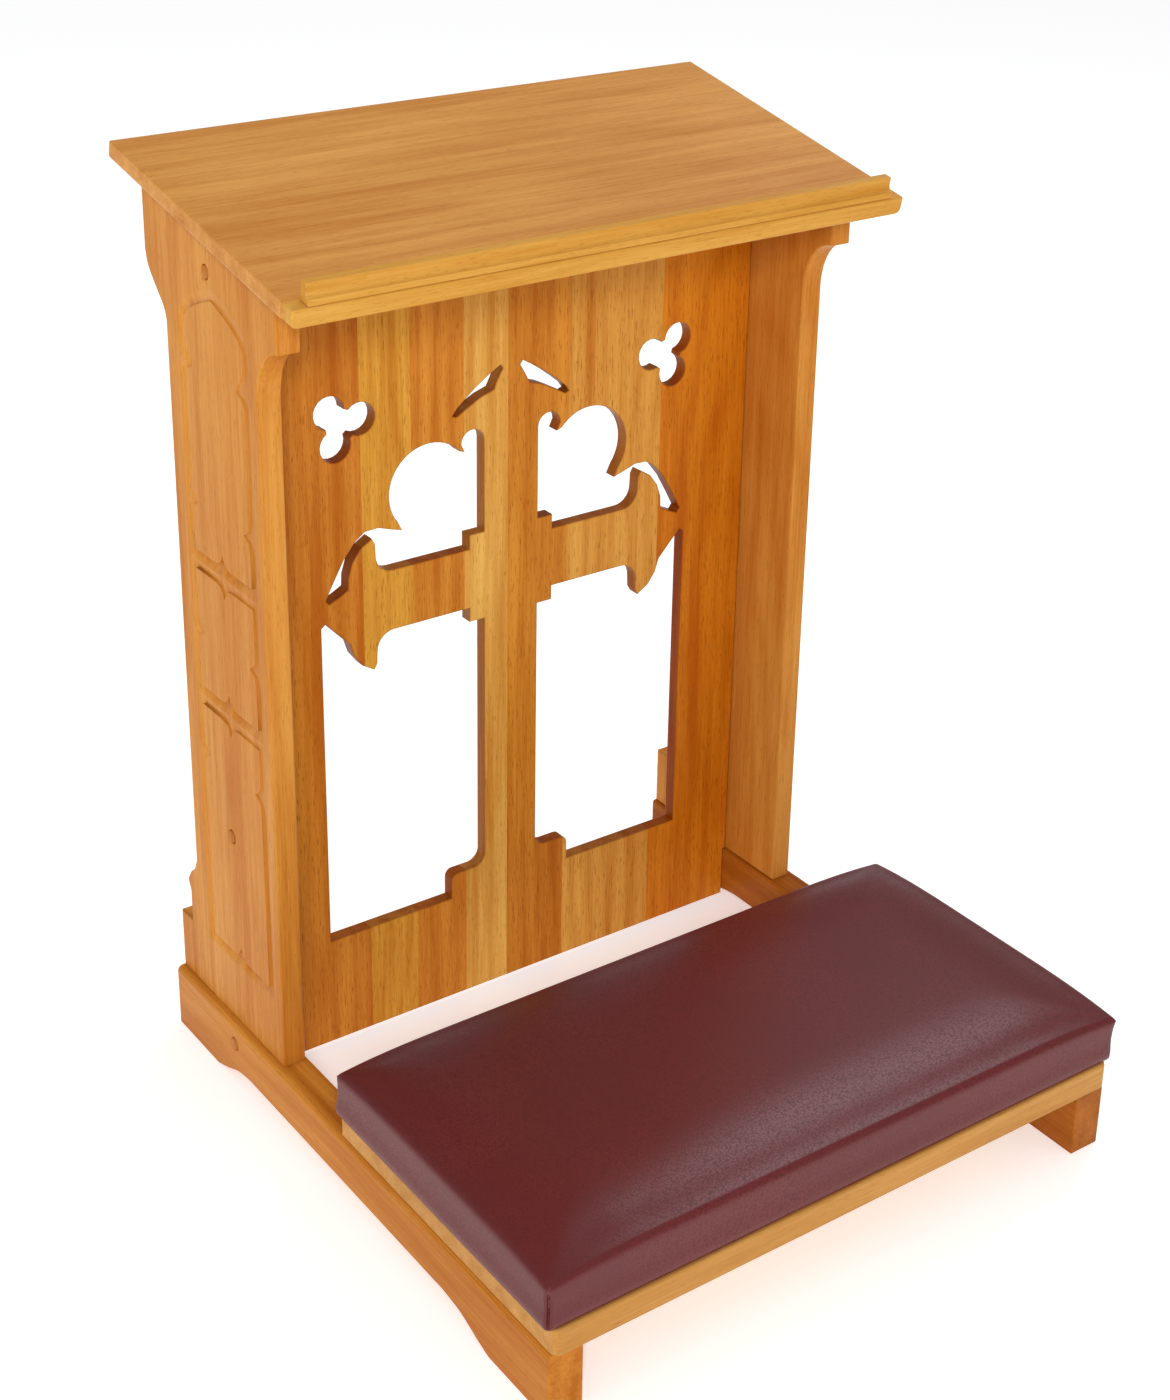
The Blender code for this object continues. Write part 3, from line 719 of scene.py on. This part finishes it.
def risen(start, low, high, top):
    """How far the stuffing may lift a point: least at the corners, more between them, most inside."""
    ends = max(0.0, min(start.x - low.x, high.x - start.x))
    sides = max(0.0, min(start.y - low.y, high.y - start.y))
    along = 1 - (1 - min(1.0, ends / EDGE_REACH)) ** EDGE_CURVE
    across = 1 - (1 - min(1.0, sides / EDGE_REACH)) ** EDGE_CURVE
    edge = EDGE_RISE * (along + across - along * across)
    crown = CROWN_RISE * (1 - (1 - min(1.0, ends / CROWN_REACH)) ** CROWN_CURVE)
    crown *= 1 - (1 - min(1.0, sides / CROWN_REACH)) ** CROWN_CURVE
    return (edge + crown) * min(1.0, max(0.0, (start.z - low.z) / (top - low.z)))


def swollen(piece, low, high, top):
    """Lets pressure swell the mesh as cloth, and caps how far each point may move. Then the right end
    leans out, and the upright corners fold in."""
    held = piece.vertex_groups.new(name="held")
    rest = [vert.co.copy() for vert in piece.data.vertices]
    moved = [start + Vector((0, 0, top)) for start in rest]
    for number, point in enumerate(rest):
        if point.z < low.z + STAPLED_PART * (top - low.z):
            held.add([number], 1.0, "REPLACE")
    cloth = piece.modifiers.new("stuffing", "CLOTH")
    cloth.settings.quality = 4
    cloth.settings.mass = VINYL_MASS
    cloth.settings.use_pressure = True
    cloth.settings.uniform_pressure_force = PRESSURE
    cloth.settings.tension_stiffness = STRETCH_STIFFNESS
    cloth.settings.compression_stiffness = STRETCH_STIFFNESS
    cloth.settings.shear_stiffness = SHEAR_STIFFNESS
    cloth.settings.bending_stiffness = BENDING_STIFFNESS
    cloth.settings.vertex_group_mass = "held"
    cloth.settings.effector_weights.gravity = 0
    cloth.collision_settings.use_collision = False
    cloth.point_cache.frame_start = 1
    cloth.point_cache.frame_end = SWELL_FRAMES
    for number in range(1, SWELL_FRAMES + 1):
        bpy.context.scene.frame_set(number)
    graph = bpy.context.evaluated_depsgraph_get()
    moved = [vert.co.copy() for vert in piece.evaluated_get(graph).data.vertices]
    piece.modifiers.remove(cloth)
    bpy.context.scene.frame_set(1)
    for vert, start, end in zip(piece.data.vertices, rest, moved):
        step = end - start
        most = max(1e-6, risen(start, low, high, top))
        step.z = most * (EVEN_FILLING + (1 - EVEN_FILLING) * math.tanh(max(0.0, step.z) / most))
        step.x = SIDE_SWELL * math.tanh(step.x / SIDE_SWELL)
        step.y = SIDE_SWELL * math.tanh(step.y / SIDE_SWELL)
        leaning = max(0.0, 1 - (high.x - start.x) / LEAN_REACH) ** 2
        step.x += LEAN * leaning * max(0.0, (start.z - low.z) / (top - low.z))
        in_x, in_y = start.x - low.x, start.y - low.y
        from_x, from_y = min(in_x, high.x - start.x), min(in_y, high.y - start.y)
        if max(from_x, from_y) < PAD_SHRINK + 0.5 * PAD_CORNER_ROUND:
            fold = FOLD_DEPTH * min(1.0, max(0.0, (top - start.z) / FOLD_FADE - 0.5))
            step.x += fold * (1 if in_x < high.x - start.x else -1)
            step.y += fold * (1 if in_y < high.y - start.y else -1)
        vert.co = start + step
    piece.vertex_groups.remove(held)


vinyl = make_vinyl()
pad_low, pad_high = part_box("pad_cover")
pad_top = pad_low.z + PAD_CORNER
cover = sewn_cover(pad_low, pad_high, pad_top)
cushion = add_piece(cover, "vinyl_pad", vinyl, "maroon_vinyl", "pad_cover", smooth=False)
swollen(cushion, pad_low, pad_high, pad_top)
cushion.data.shade_smooth()
rounded = cushion.modifiers.new("rounded", "SUBSURF")
rounded.levels = 1
rounded.render_levels = 1

FOAM_MARGIN = 0.0060
FOAM_LIGHT = (0.84, 0.76, 0.50, 1)
FOAM_DARK = (0.62, 0.54, 0.32, 1)
BASE_MARGIN = 0.0040
BASE_EASE = 0.0010
BIRCH_LIGHT = (0.66, 0.50, 0.30, 1)
BIRCH_DARK = (0.50, 0.35, 0.18, 1)

foam = bpy.data.materials.new("cream_foam")
foam.use_nodes = True
foam_tree = foam.node_tree
foam_place = add_node(foam_tree, "ShaderNodeTexCoord", {}).outputs["Object"]
foam_values = {"Vector": foam_place, "Scale": 900.0}
foam_cells = add_node(foam_tree, "ShaderNodeTexVoronoi", foam_values).outputs[0]
foam_tone = mixed(foam_tree, foam_cells, FOAM_LIGHT, FOAM_DARK)
foam_shader = foam_tree.nodes["Principled BSDF"]
foam_tree.links.new(foam_tone, foam_shader.inputs["Base Color"])
foam_shader.inputs["Roughness"].default_value = 0.95
plywood = wood("birch_plywood", "X", BIRCH_LIGHT, BIRCH_DARK, figure=0.3)
foam_low = Vector((pad_low.x, pad_low.y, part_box("pad_foam")[0].z))
foam_shape = pad_block(foam_low, pad_high, pad_top - FOAM_MARGIN, FOAM_MARGIN)
add_piece(foam_shape, "foam_slab", foam, "cushion_foam", "pad_foam", smooth=False)
base_low, base_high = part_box("pad_plywood_base")
base_shape = pad_block(base_low, base_high, base_high.z, BASE_MARGIN)
add_piece(eased(base_shape, BASE_EASE), "plywood_base", plywood, "plywood", "pad_plywood_base")

# --- Studio --------------------------------------------------------------------------------------
# A plain pale paper floor that glows a little, a key light at the front left, a weak one at the left,
# a cool one high at the rear right, and a camera above the front left corner.

FLOOR_REACH = 30.0
PAPER_TONE = (0.98, 0.98, 0.98, 1)
PAPER_ROUGHNESS = 0.8
PAPER_GLOW = 0.36  # the paper lies on a light table, which keeps shadows faint
WHITE = (1.0, 1.0, 1.0, 1)
CAMERA_PLACE = (-1.03747, -1.38373, 1.27240)
CAMERA_RIGHT = (0.8166, -0.5771, 0.0150)
CAMERA_DOWN = (-0.2088, -0.3194, -0.9244)
CAMERA_FORWARD = (0.5382, 0.7517, -0.3812)
LENS = 59.69
AIR_STRENGTH = 0.62
AIR_IN_GLOSS = 0.30  # the room past the lights is dimmer than its paper, so lacquer mirrors less of it
SHIFT = (0.0017, -0.1455)
LIGHTS_AIM = (0.0, 0.0, 0.4)
# Each light's name, place, width in metres, power in watts, and colour.
LIGHTS = (
    ("left_softbox", (-2.9, 0.2, 1.2), 1.6, 3, (1.0, 1.0, 1.0)),
    ("front_softbox", (-1.75, -2.50, 2.1), 0.55, 46, (1.0, 1.0, 1.0)),
    ("rear_softbox", (2.0, 1.0, 3.0), 1.2, 28, (0.88, 0.93, 1.0)),
)

floor_shape = bmesh.new()
bmesh.ops.create_grid(floor_shape, x_segments=4, y_segments=4, size=FLOOR_REACH)
floor_mesh = bpy.data.meshes.new("studio_floor")
floor_shape.to_mesh(floor_mesh)
floor_shape.free()
floor = bpy.data.objects.new("studio_floor", floor_mesh)
bpy.context.scene.collection.objects.link(floor)
paper = bpy.data.materials.new("pale_paper")
paper.use_nodes = True
paper_shader = paper.node_tree.nodes["Principled BSDF"]
paper_shader.inputs["Base Color"].default_value = PAPER_TONE
paper_shader.inputs["Roughness"].default_value = PAPER_ROUGHNESS
paper_shader.inputs["Emission Color"].default_value = WHITE
paper_shader.inputs["Emission Strength"].default_value = PAPER_GLOW
floor_mesh.materials.append(paper)

world = bpy.data.worlds.new("studio_air")
world.use_nodes = True
sky = world.node_tree.nodes["Background"]
sky.inputs["Color"].default_value = WHITE
mirrored = add_node(world.node_tree, "ShaderNodeLightPath", {}).outputs["Is Glossy Ray"]
sky_strength = remapped(world.node_tree, mirrored, 0.0, 1.0, AIR_STRENGTH, AIR_IN_GLOSS)
world.node_tree.links.new(sky_strength, sky.inputs["Strength"])
bpy.context.scene.world = world


for name, place, width, power, colour in LIGHTS:
    lamp = bpy.data.lights.new(name, "AREA")
    lamp.shape = "RECTANGLE"
    lamp.size = width
    lamp.size_y = width
    lamp.energy = power
    lamp.color = colour
    softbox = bpy.data.objects.new(name, lamp)
    softbox.location = place
    aim = Vector(LIGHTS_AIM) - Vector(place)
    softbox.rotation_euler = aim.to_track_quat("-Z", "Y").to_euler()
    bpy.context.scene.collection.objects.link(softbox)

lens = bpy.data.cameras.new("studio_camera")
lens.sensor_width = 36.0
lens.lens = LENS
lens.shift_x, lens.shift_y = SHIFT
lens.clip_start = 0.05
lens.clip_end = 100.0
camera = bpy.data.objects.new("studio_camera", lens)
camera_axes = (Vector(CAMERA_RIGHT), -Vector(CAMERA_DOWN), -Vector(CAMERA_FORWARD))
turn = Matrix(camera_axes).transposed()
camera.matrix_world = Matrix.Translation(CAMERA_PLACE) @ turn.to_4x4()
bpy.context.scene.collection.objects.link(camera)
bpy.context.scene.camera = camera
bpy.context.scene.view_settings.view_transform = "Standard"
